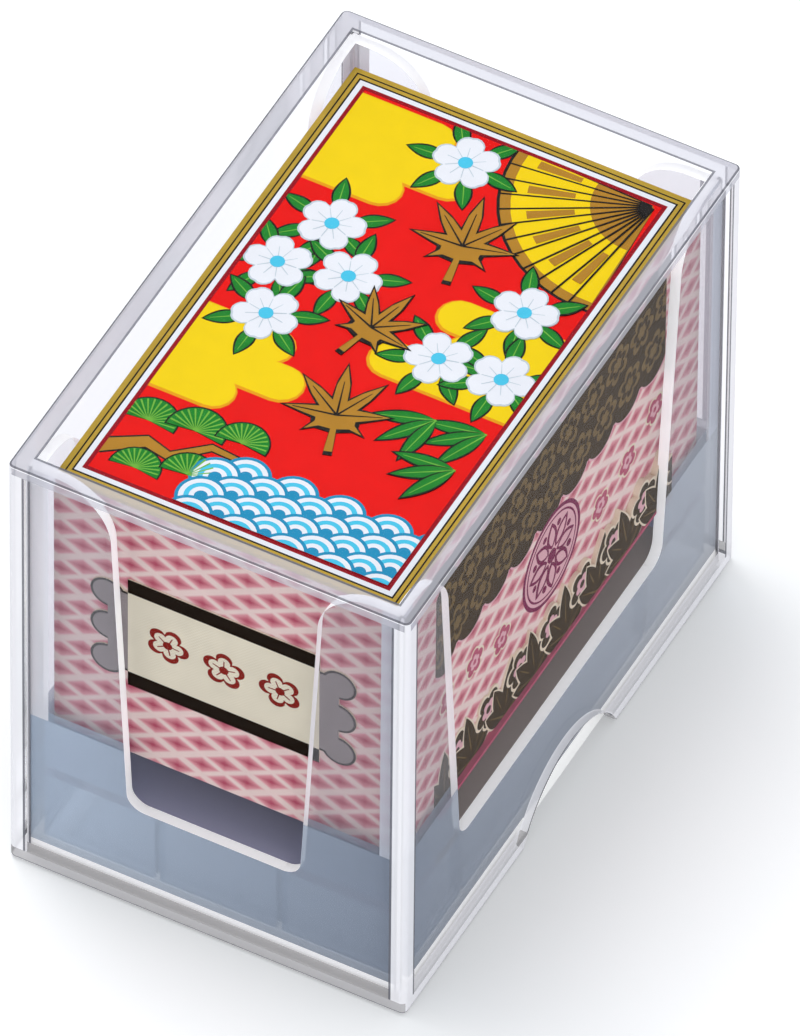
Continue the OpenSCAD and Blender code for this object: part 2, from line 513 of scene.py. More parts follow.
def makeDiscRows():
    tree, given, out = nodeGroup(
        "staggered discs",
        [("Columns", "Int", 4), ("Rows", "Int", 2), ("Pitch", "Float", 0.004), ("Row Pitch", "Float", 0.002),
         ("Row Shift", "Float", 0.002), ("Row Drop", "Float", 0.0), ("Radius", "Float", 0.002),
         ("Thickness", "Float", 0.00001), ("Lift", "Float", 0.0), ("Heap Size", "Vector", (1, 1, 1)),
         ("Ink", "Material", None)],
        [("Geometry", "Geometry")], "GeometryNodeTree")
    tree.is_modifier = True
    sizes = {}
    for axis, count, pitch in (("X", "Columns", "Pitch"), ("Y", "Rows", "Row Pitch")):
        steps = mathNode(tree, "SUBTRACT", given[count], 1.0)
        sizes[axis] = mathNode(tree, "MULTIPLY", steps, given[pitch])
    grid = newNode(tree, "GeometryNodeMeshGrid", {
        "Size X": sizes["X"], "Size Y": sizes["Y"],
        "Vertices X": given["Columns"], "Vertices Y": given["Rows"]})
    place = tree.nodes.new("GeometryNodeInputPosition")
    parts = newNode(tree, "ShaderNodeSeparateXYZ", {0: place})
    fromFirst = mathNode(tree, "MULTIPLY_ADD", sizes["Y"], 0.5, parts.outputs["Y"])
    row = mathNode(tree, "ROUND", mathNode(tree, "DIVIDE", fromFirst, given["Row Pitch"]))
    shift = mathNode(tree, "MULTIPLY", mathNode(tree, "MODULO", row, 2.0), given["Row Shift"])
    height = mathNode(tree, "SUBTRACT", given["Lift"], mathNode(tree, "MULTIPLY", row, given["Row Drop"]))
    offset = newNode(tree, "ShaderNodeCombineXYZ", {"X": shift, "Z": height})
    moved = newNode(tree, "GeometryNodeSetPosition", {"Geometry": grid, "Offset": offset})
    share = newNode(tree, "ShaderNodeVectorMath", {0: place, 1: given["Heap Size"]}, "DIVIDE")
    span = newNode(tree, "ShaderNodeVectorMath", {0: share}, "LENGTH")
    outside = newNode(tree, "FunctionNodeCompare", {"A": span.outputs["Value"], "B": 1.0}, "GREATER_THAN")
    kept = newNode(tree, "GeometryNodeDeleteGeometry", {"Geometry": moved, "Selection": outside})
    plate = newNode(tree, "GeometryNodeMeshCylinder", {
        "Vertices": discSides, "Radius": given["Radius"], "Depth": given["Thickness"]})
    copies = newNode(tree, "GeometryNodeInstanceOnPoints", {"Points": kept, "Instance": plate})
    real = newNode(tree, "GeometryNodeRealizeInstances", {0: copies})
    inked = newNode(tree, "GeometryNodeSetMaterial", {"Geometry": real, "Material": given["Ink"]})
    feed(tree, out, {0: inked})
    return tree


discRowsTree = makeDiscRows()


# Several rings of discs round a place on a print, as one mesh cut off at the edges of the print
def buildDiscRows(name, rings, place, middle, right, up, half):
    sockets = {item.name: item.identifier for item in discRowsTree.interface.items_tree}
    whole = bmesh.new()
    inks = []
    for ring in rings:
        piece = addObject(name + "_ring", bpy.data.meshes.new(name + "_ring"))
        rows = piece.modifiers.new("rows", "NODES")
        rows.node_group = discRowsTree
        for label, value in ring.items():
            rows[sockets[label]] = value
        applyModifiers(piece)
        start = len(whole.faces)
        whole.from_mesh(piece.data)
        whole.faces.ensure_lookup_table()
        if ring["Ink"] not in inks:
            inks.append(ring["Ink"])
        for face in whole.faces[start:]:
            face.material_index = inks.index(ring["Ink"])
        bpy.data.objects.remove(piece)
    for axis in (0, 1):
        for side in (-1, 1):
            cutAcross(whole, axis, (side * half[axis] - place[axis]) * mm, side, 0.0002 * mm)
    plane = Matrix((right, up, right.cross(up))).transposed().to_4x4()
    corner = middle + (right * place[0] + up * place[1]) * mm
    whole.transform(Matrix.Translation(corner) @ plane)
    mesh = bpy.data.meshes.new(name)
    whole.to_mesh(mesh)
    whole.free()
    print(name, "has", len(mesh.polygons), "faces")
    return addObject(name, mesh, inks)


# Outlines, all in millimetres


def rectangle(u0, v0, u1, v1):
    return [(u0, v0), (u1, v0), (u1, v1), (u0, v1)]


def alongAngle(root, reach, angle):
    a = math.radians(angle)
    return (root[0] + reach * math.cos(a), root[1] + reach * math.sin(a))


def polar(centre, reach, count, turn=0.0):
    made = []
    for i in range(count):
        a = 2 * math.pi * i / count
        r = reach(a)
        made.append((centre[0] + r * math.cos(a + turn), centre[1] + r * math.sin(a + turn)))
    return made


def disc(centre, radius, count=28):
    return polar(centre, lambda a: radius, count)


def blossom(centre, radius, petals=5, turn=0.0, depth=0.34, notch=0.0):
    def reach(a):
        swell = abs(math.cos(petals * a / 2))
        dent = notch * max(0.0, (swell - 0.93) / 0.07)
        return radius * (1 - depth + depth * swell ** 0.7 - dent)
    return polar(centre, reach, petals * 10, turn)


def leaf(root, length, width, angle, count=9):
    a = math.radians(angle)
    sides = ([], [])
    for i in range(count + 1):
        t = i / count
        half = width / 2 * math.sin(math.pi * t) ** 0.85 * (1.15 - 0.3 * t)
        for side, y in zip(sides, (half, -half)):
            u = root[0] + t * length * math.cos(a) - y * math.sin(a)
            v = root[1] + t * length * math.sin(a) + y * math.cos(a)
            side.append((u, v))
    return sides[0] + sides[1][::-1]


def ribbon(path, width, endWidth=None):
    endWidth = width if endWidth is None else endWidth
    left, right = [], []
    for i, p in enumerate(path):
        a = path[max(i - 1, 0)]
        b = path[min(i + 1, len(path) - 1)]
        span = math.dist(a, b) or 1.0
        n = (-(b[1] - a[1]) / span, (b[0] - a[0]) / span)
        half = (width + (endWidth - width) * i / (len(path) - 1)) / 2
        left.append((p[0] + n[0] * half, p[1] + n[1] * half))
        right.append((p[0] - n[0] * half, p[1] - n[1] * half))
    return left + right[::-1]


def arcPath(centre, radius, start, end, count=14):
    return [alongAngle(centre, radius, start + (end - start) * i / count) for i in range(count + 1)]


def sector(centre, inner, outer, start, end):
    return arcPath(centre, outer, start, end) + arcPath(centre, inner, end, start)


def capsule(u0, u1, v, half):
    return arcPath((u1 - half, v), half, -90, 90, 8) + arcPath((u0 + half, v), half, 90, 270, 8)


def mapleLeaf(centre, radius, turn, grow=0.0):
    tips = ((-128, 0.58), (-84, 0.84), (-41, 0.97), (0, 1.06), (41, 0.97), (84, 0.84), (128, 0.58))
    made = []
    for i, (angle, share) in enumerate(tips):
        ring = [(angle - 9, 0.62 * share), (angle, share), (angle + 9, 0.62 * share)]
        if i < len(tips) - 1:
            ring.append(((angle + tips[i + 1][0]) / 2, 0.33))
        made += ring
    made += [(171, 0.30), (175, 0.78), (185, 0.78), (189, 0.30)]
    return [alongAngle(centre, radius * share + grow, angle + turn) for angle, share in made]


# Top label: gold border round a red field with clouds, a fan, flowers, leaves and waves

labelArt = {
    "edgeRound": 0.1,  # mm
    "borders": ((0.55, "black"), (0.70, "gold"), (1.05, "black"), (1.22, "white"), (1.72, "darkRed")),
    "field": 2.12,  # mm in from the edge, as the borders
    "flowerRadius": 3.0,
    "leafRadius": 5.5,  # of the large maple leaves
    "fanRadius": 13.5,
    "waveRadius": 2.3, "waveRows": 10, "waveColumns": 9, "waveRowShare": 0.55,
    "waveCorner": (14.0, -25.5), "waveSpread": (21.0, 10.5),  # mm, the heap in the lower right corner
    "waveRings": ((1.0, "seaBlue"), (0.86, "white"), (0.66, "skyBlue"), (0.46, "white"), (0.26, "seaBlue")),
    "waveStep": 0.003, "waveBase": 0.04,  # mm up from ring to ring, and over the label
}


def cloudBank(bars):
    shapes = []
    for u0, u1, v, half in bars:
        shapes.append(("orange", capsule(u0 - 0.22, u1 + 0.22, v - 0.12, half + 0.2)))
    for u0, u1, v, half in bars:
        shapes.append(("yellow", capsule(u0, u1, v, half)))
    return shapes


def whiteFlower(centre, radius, turn):
    shapes = [("paleGrey", blossom(centre, radius * 1.06, 5, math.radians(turn), 0.34, 0.05))]
    shapes.append(("white", blossom(centre, radius, 5, math.radians(turn), 0.36, 0.06)))
    for i in range(10):
        tip = alongAngle(centre, 0.6 * radius, turn + 36 * i)
        shapes.append(("paleGrey", ribbon([centre, tip], 0.10, 0.05)))
    shapes.append(("skyBlue", disc(centre, radius * 0.22, 16)))
    return shapes


def greenLeaf(root, length, width, angle):
    return [
        ("black", leaf(root, length * 1.06, width * 1.28, angle)),
        ("green", leaf(root, length, width, angle)),
        ("lightGreen", ribbon([root, alongAngle(root, 0.86 * length, angle)], 0.14, 0.05)),
    ]


def pineTuft(centre, radius):
    shapes = [("black", sector(centre, 0.05, radius * 1.06, -8, 188))]
    shapes.append(("green", sector(centre, 0.05, radius, -6, 186)))
    for i in range(13):
        tip = alongAngle(centre, 0.95 * radius, 6 + 14 * i)
        shapes.append(("lightGreen", ribbon([centre, tip], 0.05, 0.16)))
    return shapes


def foldingFan(pivot, reach):
    shapes = [
        ("black", sector(pivot, 0.2, reach + 0.28, 176, 274)),
        ("brownGold", sector(pivot, 0.2, reach, 177, 273)),
        ("yellow", sector(pivot, reach * 0.42, reach * 0.93, 178, 272)),
    ]
    folds = 12
    for i in range(folds):
        start = 178 + i * 94 / folds
        if i % 2 == 0:
            block = sector(pivot, reach * 0.52, reach * 0.83, start + 1.6, start + 6.2)
            shapes.append(("brownGold", block))
        rib = [alongAngle(pivot, 0.3, start), alongAngle(pivot, reach, start)]
        shapes.append(("black", ribbon(rib, 0.16)))
    return shapes


def goldMaple(centre, radius, turn):
    shapes = [("black", mapleLeaf(centre, radius, turn, 0.42))]  # the outline
    shapes.append(("brownGold", mapleLeaf(centre, radius, turn)))
    for angle in (-84, -41, 0, 41, 84):
        tip = alongAngle(centre, 0.72 * radius, angle + turn)
        shapes.append(("black", ribbon([centre, tip], 0.20, 0.07)))
    return shapes


def drawLabel(art, half, field):
    halfW, halfL = half
    shapes = []
    for inset, ink in (*art["borders"], (art["field"], "red")):
        shapes.append((ink, rectangle(-halfW + inset, -halfL + inset, halfW - inset, halfL - inset)))
    inner = cloudBank([
        (-18, -4.6, 22.6, 2.1), (-18, -1.0, 19.0, 2.0), (-18, -6.0, 15.6, 1.9),
        (3.4, 18, 5.4, 1.9), (5.8, 18, 1.9, 2.1), (0.5, 18, -1.7, 2.0),
        (-18, -5.4, -5.2, 1.9), (-18, -2.6, -8.7, 2.0), (-18, -7.4, -12.2, 1.9),
    ])
    inner += foldingFan((field[0] - 0.5, field[1] - 0.2), art["fanRadius"])
    trunk = [(-15, -22.5), (-11.5, -20.2), (-9.0, -20.8), (-6.2, -18.2), (-3.4, -18.4)]
    inner += [("black", ribbon(trunk, 1.9, 0.8)), ("brownGold", ribbon(trunk, 1.5, 0.45))]
    for centre, size in (((-12.6, -18.0), 2.6), ((-8.4, -17.2), 2.7), ((-4.2, -16.6), 2.4),
                         ((-11.0, -23.4), 2.3), ((-6.6, -22.0), 2.5)):
        inner += pineTuft(centre, size)
    sprays = (
        ((-9.6, 9.8), 15), ((-11.6, 3.6), 40), ((-5.4, 5.0), 3), ((-9.6, -2.2), 62),
        ((10.0, 8.4), 20), ((6.0, 0.2), 50), ((11.9, 0.6), 8), ((-2.8, 21.6), 33),
    )
    for centre, turn in sprays:
        for angle in (turn + 18, turn + 90, turn + 152, turn + 206, turn + 262, turn + 318):
            inner += greenLeaf(alongAngle(centre, 1.7, angle), 3.7, 1.3, angle)
    for centre, turn in sprays:
        inner += whiteFlower(centre, art["flowerRadius"], turn)
    # bamboo leaves down the right side
    for root, angles in (((13.8, -5.6), (192, 218, 246)), ((9.2, -6.2), (200, 232, 262)),
                         ((13.4, -10.6), (186, 212, 242))):
        for angle in angles:
            inner += greenLeaf(root, 5.6, 1.3, angle)
    for centre, size, turn in (((1.6, 12.8), 1.0, 100), ((-0.8, 0.6), 0.86, 74), ((1.4, -9.8), 1.0, 108)):
        inner += goldMaple(centre, art["leafRadius"] * size, turn)
    shapes += [(ink, clipOutline(outline, field)) for ink, outline in inner]
    return shapes


labelInks = {
    "gold": printInk("gold border", (0.60, 0.39, 0.05), 0.25, 0.34),
    "black": printInk("black ink", (0.012, 0.010, 0.009)),
    "white": printInk("white ink", (0.92, 0.93, 0.95), 0.06),
    "darkRed": printInk("dark red ink", (0.33, 0.004, 0.012)),
    "red": printInk("red ink", (0.90, 0.006, 0.004), 0.12),
    "orange": printInk("orange ink", (0.90, 0.38, 0.01)),
    "yellow": printInk("yellow ink", (1.0, 0.70, 0.005), 0.08),
    "paleGrey": printInk("pale grey ink", (0.62, 0.70, 0.74)),
    "skyBlue": printInk("sky blue ink", (0.08, 0.62, 0.85)),
    "seaBlue": printInk("sea blue ink", (0.02, 0.30, 0.52)),
    "green": printInk("green ink", (0.015, 0.24, 0.025), 0.2),
    "lightGreen": printInk("light green ink", (0.20, 0.52, 0.06)),
    "brownGold": printInk("brown gold ink", (0.50, 0.24, 0.025), 0.22),
}


# Overlapping wave scales, from the corner upwards, each row under the one before
def waveRings(art):
    radius = art["waveRadius"] * mm
    step = art["waveStep"] * mm
    rowDrop = (len(art["waveRings"]) + 1) * step
    rings = []
    for i, (share, ink) in enumerate(art["waveRings"]):
        rings.append({
            "Columns": art["waveColumns"], "Rows": art["waveRows"], "Pitch": 2 * radius,
            "Row Pitch": radius * art["waveRowShare"], "Row Shift": radius, "Row Drop": rowDrop,
            "Radius": radius * share, "Thickness": 2 * step, "Ink": labelInks[ink],
            "Lift": art["waveBase"] * mm + art["waveRows"] * rowDrop + i * step,
            "Heap Size": (art["waveSpread"][0] * mm, art["waveSpread"][1] * mm, 1.0),
        })
    return rings


def makeTopLabel():
    low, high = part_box("top_label")
    base = softCopy(["top_label"], "label_board", labelArt["edgeRound"], [labelInks["gold"]])
    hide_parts("top_label")
    half = ((high.x - low.x) / 2 / mm, (high.y - low.y) / 2 / mm)
    field = tuple(v - labelArt["field"] for v in half)
    middle = Vector(((low.x + high.x) / 2, (low.y + high.y) / 2, high.z))
    right, up = Vector((1, 0, 0)), Vector((0, 1, 0))
    art = buildPrint("label_art", drawLabel(labelArt, half, field), labelInks, middle, right, up, half)
    waves = buildDiscRows("label_waves", waveRings(labelArt), labelArt["waveCorner"],
                          middle, right, up, field)
    for piece in (base, art, waves):
        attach(piece, "jacket")


makeTopLabel()
print("top label ready")

# Case

caseEdges = {
    "coverRound": 0.2, "trayRound": 0.2, "segments": 3,  # mm
    "topBand": 1.7, "cornerBand": 1.65, "rimBand": 1.3,  # mm, strips that look into a wall end on, painted as glowing highlight
    "topStrip": 1.0,  # mm down from the top
    "line": 0.22,  # mm, the thin grey lines of painted shade beside the bright bands
    "edge": 0.3,  # mm, how far in a rounded edge reaches
    "notchTop": 12.0,  # mm up from the rim, above the thumb notches
    "wall": 1.0,  # mm, of the tray
    "foot": 2.2, "baseTop": 18.2,  # mm up, the foot glows as painted highlight and the base is painted in shade
    "endFloor": 7.8, "trayCorner": 1.9,  # mm in from an end and from a corner of the tray
    "gapDepth": 2.2, "floorDepth": 3.2,  # mm below the posts, to the gaps' foot and under the floor
    "flat": 0.97, "cutFlat": 0.95, "slant": 0.3,  # shares of a normal along an axis
}

coverLooks = {
    "wall": clearPlastic("clear cover", (0.955, 0.953, 0.970)),
    # painted highlight: these edges glow, standing in for light piped along a wall that leaves by its edges,
    # and turn grey at grazing angles as painted shade
    "bright": clearPlastic("painted highlight cover edge", (0.96, 0.95, 0.975), 0.3, 0.2, 0.2,
                           grazing=(0.62, 0.61, 0.66)),
    # painted shade: the grey rim and the grey lines stand in for the dark look into the walls' edges
    "rim": clearPlastic("painted shade cover rim", (0.66, 0.64, 0.64), 0.5, 0.1),
    "line": clearPlastic("painted shade cover line", (0.22, 0.22, 0.25), 0.3, 0.1),
    # painted shade and highlight: the top strip is a greyer lilac that glows faintly
    "top": clearPlastic("painted shade and glow cover top edge", (0.68, 0.67, 0.73), 0.5, 0.15, 0.04),
}

# Painted shade: the posts and the base fade darker towards the right, and the base and the floor are painted
# in the shade under the deck
trayLooks = {
    "wall": clearPlastic("clear tray", (0.95, 0.955, 0.98), 0.94, right=(0.83, 0.81, 0.83)),
    # painted highlight: the cut edges and the foot glow white
    "bright": clearPlastic("painted highlight tray edge", (0.95, 0.94, 0.93), 0.08, 0.25, 0.32),
    # painted shade: the blue grey base stands in for the shaded hollow under the deck, darker towards the
    # right and greyer towards the back
    "skirt": clearPlastic("painted shade skirt", (0.68, 0.78, 0.90), 0.42, 0.1,
                          right=(0.37, 0.42, 0.50), back=(0.66, 0.69, 0.74)),
    "floorSide": clearPlastic("shaded floor at the sides", (0.40, 0.33, 0.30), 0.3, 0.05),
    "floorEnd": clearPlastic("shaded floor at the ends", (0.46, 0.45, 0.60), 0.3, 0.05),
    # painted light and shade: the corners are pale white, greyer towards the right
    "corner": clearPlastic("painted light and shade tray corner", (0.97, 0.96, 0.98), 0.25, 0.15, right=(0.64, 0.67, 0.74)),
}


def cutBothEnds(shape, axis, low, high, inset):
    cutAcross(shape, axis, low[axis] + inset)
    cutAcross(shape, axis, high[axis] - inset)


# Painted light and shade: strips along the cover's edges glow bright between painted grey lines, and its rim
# is painted grey at the ends
def zoneCover(cover, edges):
    low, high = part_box("case_cover")
    topBand = edges["topBand"] * mm
    cornerBand = edges["cornerBand"] * mm
    line = edges["line"] * mm
    edge = edges["edge"] * mm
    topStrip = high.z - edges["topStrip"] * mm
    rimTop = low.z + edges["rimBand"] * mm
    notchTop = low.z + edges["notchTop"] * mm
    shape = bmesh.new()
    shape.from_mesh(cover.data)
    for band in (topBand, topBand + line, cornerBand - line, cornerBand):
        for axis in (0, 1):
            cutBothEnds(shape, axis, low, high, band)
    cutAcross(shape, 2, topStrip)
    cutAcross(shape, 2, rimTop)
    zones = list(coverLooks)
    for face in shape.faces:
        x, y, z = face.calc_center_median()
        nx, ny, nz = (abs(v) for v in face.normal)
        nearer, farther = sorted((high.x - abs(x), high.y - abs(y)))
        rounded = max(nx, ny, nz) < edges["flat"] and nearer < edge
        inNotch = face.normal.z < -edges["slant"] and z < notchTop
        zone = "wall"
        if z < rimTop:
            zone = "rim" if ny > 0.5 else "bright"
            if rounded and z < low.z + edge:
                zone = "line"
        elif rounded:
            zone = "line" if nz > edges["slant"] else "bright"
        elif z > topStrip:
            if nearer < topBand + line:
                zone = "top" if nearer < topBand else "line"
        elif farther < cornerBand - line or inNotch:
            zone = "bright"
        elif farther < cornerBand:
            zone = "line"
        face.material_index = zones.index(zone)
    shape.to_mesh(cover.data)
    shape.free()


# Painted light and shade: the cut edges and the foot of the tray glow bright, and its base is painted darker
# than the posts
def zoneTray(tray, edges, seam):
    low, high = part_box("tray_posts")
    wall = edges["wall"] * mm
    foot = edges["foot"] * mm
    baseTop = edges["baseTop"] * mm
    corner = edges["trayCorner"] * mm
    endFloor = edges["endFloor"] * mm
    shape = bmesh.new()
    shape.from_mesh(tray.data)
    cutAcross(shape, 2, foot)
    cutAcross(shape, 2, baseTop)
    for axis in (0, 1):
        cutBothEnds(shape, axis, low, high, wall)
        cutBothEnds(shape, axis, low, high, corner)
    cutBothEnds(shape, 1, low, high, endFloor)
    zones = list(trayLooks)
    for face in shape.faces:
        x, y, z = face.calc_center_median()
        nx, ny, nz = (abs(v) for v in face.normal)
        fromSide = high.x - abs(x)
        fromEnd = high.y - abs(y)
        onSide = fromSide < wall * 1.02
        onEnd = fromEnd < wall * 1.02
        cutSide = onSide and nx < edges["cutFlat"] and fromEnd > 2 * wall
        cutEnd = onEnd and ny < edges["cutFlat"] and fromSide > 2 * wall
        inGap = z > seam - edges["gapDepth"] * mm and (cutEnd or cutSide)
        postTop = z > high.z - edges["edge"] * mm and nz > edges["slant"]
        zone = "wall"
        if inGap or z < foot or postTop:
            zone = "bright"
        elif z > baseTop:
            if max(fromEnd, fromSide) < corner and min(fromEnd, fromSide) < 0.5 * wall:
                zone = "corner"
        elif onEnd or onSide or z < seam - edges["floorDepth"] * mm:
            zone = "skirt"
        else:
            zone = "floorEnd" if fromEnd < endFloor else "floorSide"
        face.material_index = zones.index(zone)
    shape.to_mesh(tray.data)
    shape.free()


def makeCase(edges):
    cover = softCopy(["case_cover"], "cover_shell", edges["coverRound"], coverLooks.values(),
                     edges["segments"])
    zoneCover(cover, edges)
    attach(cover, "cover")
    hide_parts("case_cover")
    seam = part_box("tray_posts")[0].z
    tray = softCopy(["inner_tray", "tray_posts"], "tray_shell", edges["trayRound"], trayLooks.values(),
                    edges["segments"], seam)
    zoneTray(tray, edges, seam)
    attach(tray, "tray")
    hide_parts("inner_tray", "tray_posts")


makeCase(caseEdges)
print("case ready")

# Paper jacket

jacketPrint = {
    "edgeRound": 0.12,  # mm
    "latticeWide": 4.6, "latticeTall": 2.6,  # mm from corner to corner of a diamond
    "rose": (0.52, 0.10, 0.15), "pink": (0.80, 0.34, 0.37), "cream": (0.92, 0.70, 0.64),
    "stops": {"cream": 0.06, "pink": 0.17, "rose": 0.42},  # from a line to the middle of a diamond
    "wideLine": 0.05,  # how much wider every second line is, as a share of a diamond
}


# Diamonds in fours between crossed lines, along one level axis and up
def latticeColour(tree, levelAxis):
    parts = objectParts(tree)
    across = mathNode(tree, "MULTIPLY", parts[levelAxis], 1 / (jacketPrint["latticeWide"] * mm))
    upward = mathNode(tree, "MULTIPLY", parts["Z"], 1 / (jacketPrint["latticeTall"] * mm))
    nearest = None
    for operation in ("ADD", "SUBTRACT"):
        fromWide = mathNode(tree, "PINGPONG", mathNode(tree, operation, across, upward), 1.0)
        fromThin = mathNode(tree, "SUBTRACT", 1.0, fromWide)
        fromWide = mathNode(tree, "SUBTRACT", fromWide, jacketPrint["wideLine"])
        line = mathNode(tree, "MINIMUM", fromWide, fromThin)
        nearest = line if nearest is None else mathNode(tree, "MINIMUM", nearest, line)
    ramp = newNode(tree, "ShaderNodeValToRGB", {0: nearest})
    stops = ramp.color_ramp.elements
    stops.remove(stops[1])
    for i, (ink, place) in enumerate(jacketPrint["stops"].items()):
        stop = stops.new(place) if i else stops[0]
        stop.position = place
        stop.color = (*jacketPrint[ink], 1)
    return ramp.outputs[0]


jacketInks = {
    "band": mattInk("olive brown ink", (0.056, 0.031, 0.011), 0.45),
    "bandLight": mattInk("light olive ink", (0.20, 0.125, 0.045), 0.35),
    "creamLine": mattInk("cream ink", (0.86, 0.72, 0.55), 0.15),
    "rose": mattInk("rose ink", (0.52, 0.10, 0.17), 0.2),
    "magenta": mattInk("magenta ink", (0.22, 0.012, 0.075), 0.2),
    "palePink": mattInk("pale pink ink", (0.80, 0.44, 0.48), 0.15),
}

sideArt = {
    "reach": 21.4,  # mm, half the length of the printed strip
    "bandTop": 13.3, "bandBottom": 1.2,  # mm from the middle of the side
    "bandInset": 1.2,  # mm that the lobes reach past the plain band
    "lobes": 11, "lobePitch": 4.8, "lobeRadius": 2.6,
    "bandFlowers": 20, "bandFlowerPitch": 2.25, "bandFlowerRise": 2.3,
    "bandFlowerRings": (("bandLight", 2.2), ("band", 1.55), ("bandLight", 0.8)),
    "rosettePlace": (0.5, -3.4), "rosetteRadius": 5.3,
    "sprigs": 8, "sprigPitch": 5.6, "sprigBottom": -15.4, "sprigLean": 14,
    "blades": ((0, 6.4), (34, 5.2), (-34, 5.2), (66, 4.2), (-66, 4.2)),  # turn in degrees and length in mm
    "bladeWidth": 2.0,
    "lowFlowerRise": 3.6, "lowFlowerRadius": 2.1,
    "flowerPlaces": (-19.0, -13.6, -8.6, 9.6, 14.6, 19.6), "flowerRadius": 1.5,
    "outline": 0.2, "bottomLine": 0.35,
    "firstLayer": 3,  # of ink, over the lobes
}


# One row of lobes along an edge of the band, with a pale outline
def lobeRings(art):
    made = []
    for grow, ink, layer in ((art["outline"], "palePink", 0), (0.0, "band", 1)):
        made.append({
            "Columns": art["lobes"], "Rows": 1, "Pitch": art["lobePitch"] * mm, "Row Pitch": 1.0 * mm,
            "Radius": (art["lobeRadius"] + grow) * mm, "Thickness": 2 * inkLift * mm,
            "Lift": layer * inkLift * mm, "Ink": jacketInks[ink],
        })
    return made


# A leafy sprig, brown with a cream outline
def sideSprig(root, lean, art):
    shapes = []
    line = art["outline"]
    width = art["bladeWidth"]
    for turn, length in art["blades"]:
        shapes.append(("creamLine", leaf(root, length + line, width + 2 * line, lean + turn)))
    for turn, length in art["blades"]:
        tip = alongAngle(root, 0.8 * length, lean + turn)
        shapes.append(("band", leaf(root, length, width, lean + turn)))
        shapes.append(("bandLight", ribbon([root, tip], 0.22, 0.08)))
    return shapes


def sideFlower(centre, radius, turn, petalInk):
    return [
        ("creamLine", blossom(centre, radius * 1.14, 5, turn, 0.3)),
        (petalInk, blossom(centre, radius, 5, turn, 0.34)),
        ("palePink", blossom(centre, radius * 0.55, 5, turn, 0.34)),
        (petalInk, disc(centre, radius * 0.2, 12)),
    ]


# A plain round rosette of eight petals in fine lines
def sideRosette(centre, radius):
    shapes = []
    for ink, share in (("magenta", 1.0), ("palePink", 0.92), ("magenta", 0.86), ("palePink", 0.82)):
        shapes.append((ink, disc(centre, radius * share, 48)))
    for i in range(8):
        angle = 45 * i
        for ink, root, length, width in (("magenta", 0.16, 0.62, 0.34), ("palePink", 0.23, 0.46, 0.20)):
            petal = leaf(alongAngle(centre, root * radius, angle), length * radius, width * radius, angle)
            shapes.append((ink, petal))
        shapes.append(("magenta", disc(alongAngle(centre, 0.64 * radius, angle + 22.5), radius * 0.07, 10)))
    shapes.append(("magenta", disc(centre, radius * 0.14, 16)))
    return shapes


def drawSide(art, reach, halfH):
    top = art["bandTop"] - art["bandInset"]
    bottom = art["bandBottom"] + art["bandInset"]
    shapes = [("band", rectangle(-reach, bottom, reach, top))]
    for i in range(art["bandFlowers"]):
        u = (i - (art["bandFlowers"] - 1) / 2) * art["bandFlowerPitch"]
        rise = art["bandFlowerRise"] if i % 2 else -art["bandFlowerRise"]
        for ink, radius in art["bandFlowerRings"]:
            shapes.append((ink, blossom((u, (top + bottom) / 2 + rise), radius, 6, 0.3 * i, 0.4)))
    for i in range(art["sprigs"]):
        u = (i - (art["sprigs"] - 1) / 2) * art["sprigPitch"]
        lean = 90 + art["sprigLean"] * math.sin(2.3 * i)
        between = (u + 0.5 * art["sprigPitch"], art["sprigBottom"] + art["lowFlowerRise"])
        shapes += sideSprig((u, art["sprigBottom"]), lean, art)
        shapes += sideFlower(between, art["lowFlowerRadius"], 0.9 * i, "band")
    for u in art["flowerPlaces"]:
        shapes += sideFlower((u, -4.2 + 1.6 * math.cos(u)), art["flowerRadius"], u, "rose")
    shapes += sideRosette(art["rosettePlace"], art["rosetteRadius"])
    shapes.append(("rose", rectangle(-reach, -halfH, reach, -halfH + art["bottomLine"])))
    return shapes


def makeJacket():
    endPaper = mattInk("jacket end print", lambda tree: latticeColour(tree, "X"), 0.12, 0.6)
    sidePaper = mattInk("jacket side print", lambda tree: latticeColour(tree, "Y"), 0.12, 0.6)
    jacket = softCopy(["paper_jacket"], "jacket_paper", jacketPrint["edgeRound"], [endPaper, sidePaper])
    for face in jacket.data.polygons:
        face.material_index = 1 if abs(face.normal.x) > abs(face.normal.y) else 0
    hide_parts("paper_jacket")
    low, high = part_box("paper_jacket")
    half = (sideArt["reach"], (high.z - low.z) / 2 / mm)
    up = Vector((0, 0, 1))
    art = drawSide(sideArt, *half)
    lobeRows = {
        "top": sideArt["bandTop"] - sideArt["lobeRadius"],
        "bottom": sideArt["bandBottom"] + sideArt["lobeRadius"],
    }
    pieces = [jacket]
    for name, x, right in (("right", high.x, Vector((0, 1, 0))), ("left", low.x, Vector((0, -1, 0)))):
        middle = Vector((x, 0, (low.z + high.z) / 2))
        pieces.append(buildPrint(f"jacket_{name}_print", art, jacketInks, middle, right, up, half,
                                 sideArt["firstLayer"]))
        for edge, v in lobeRows.items():
            pieces.append(buildDiscRows(f"jacket_{name}_{edge}_lobes", lobeRings(sideArt), (0, v),
                                        middle, right, up, half))
    for piece in pieces:
        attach(piece, "jacket")


makeJacket()
print("jacket ready")

# End label

endLabelArt = {
    "edgeRound": 0.03,  # mm
    "panel": (18.8, 13.5),  # mm
    "bandTall": 1.7,
    "lobe": 1.7, "lobeReach": 3.6, "wingOutline": 0.25,
    "markRadius": 2.1, "markPitch": 5.5,
    "weave": 0.36,  # mm between two threads of the linen paper
    "dark": (0.80, 0.70, 0.51), "light": (0.95, 0.87, 0.70),
}


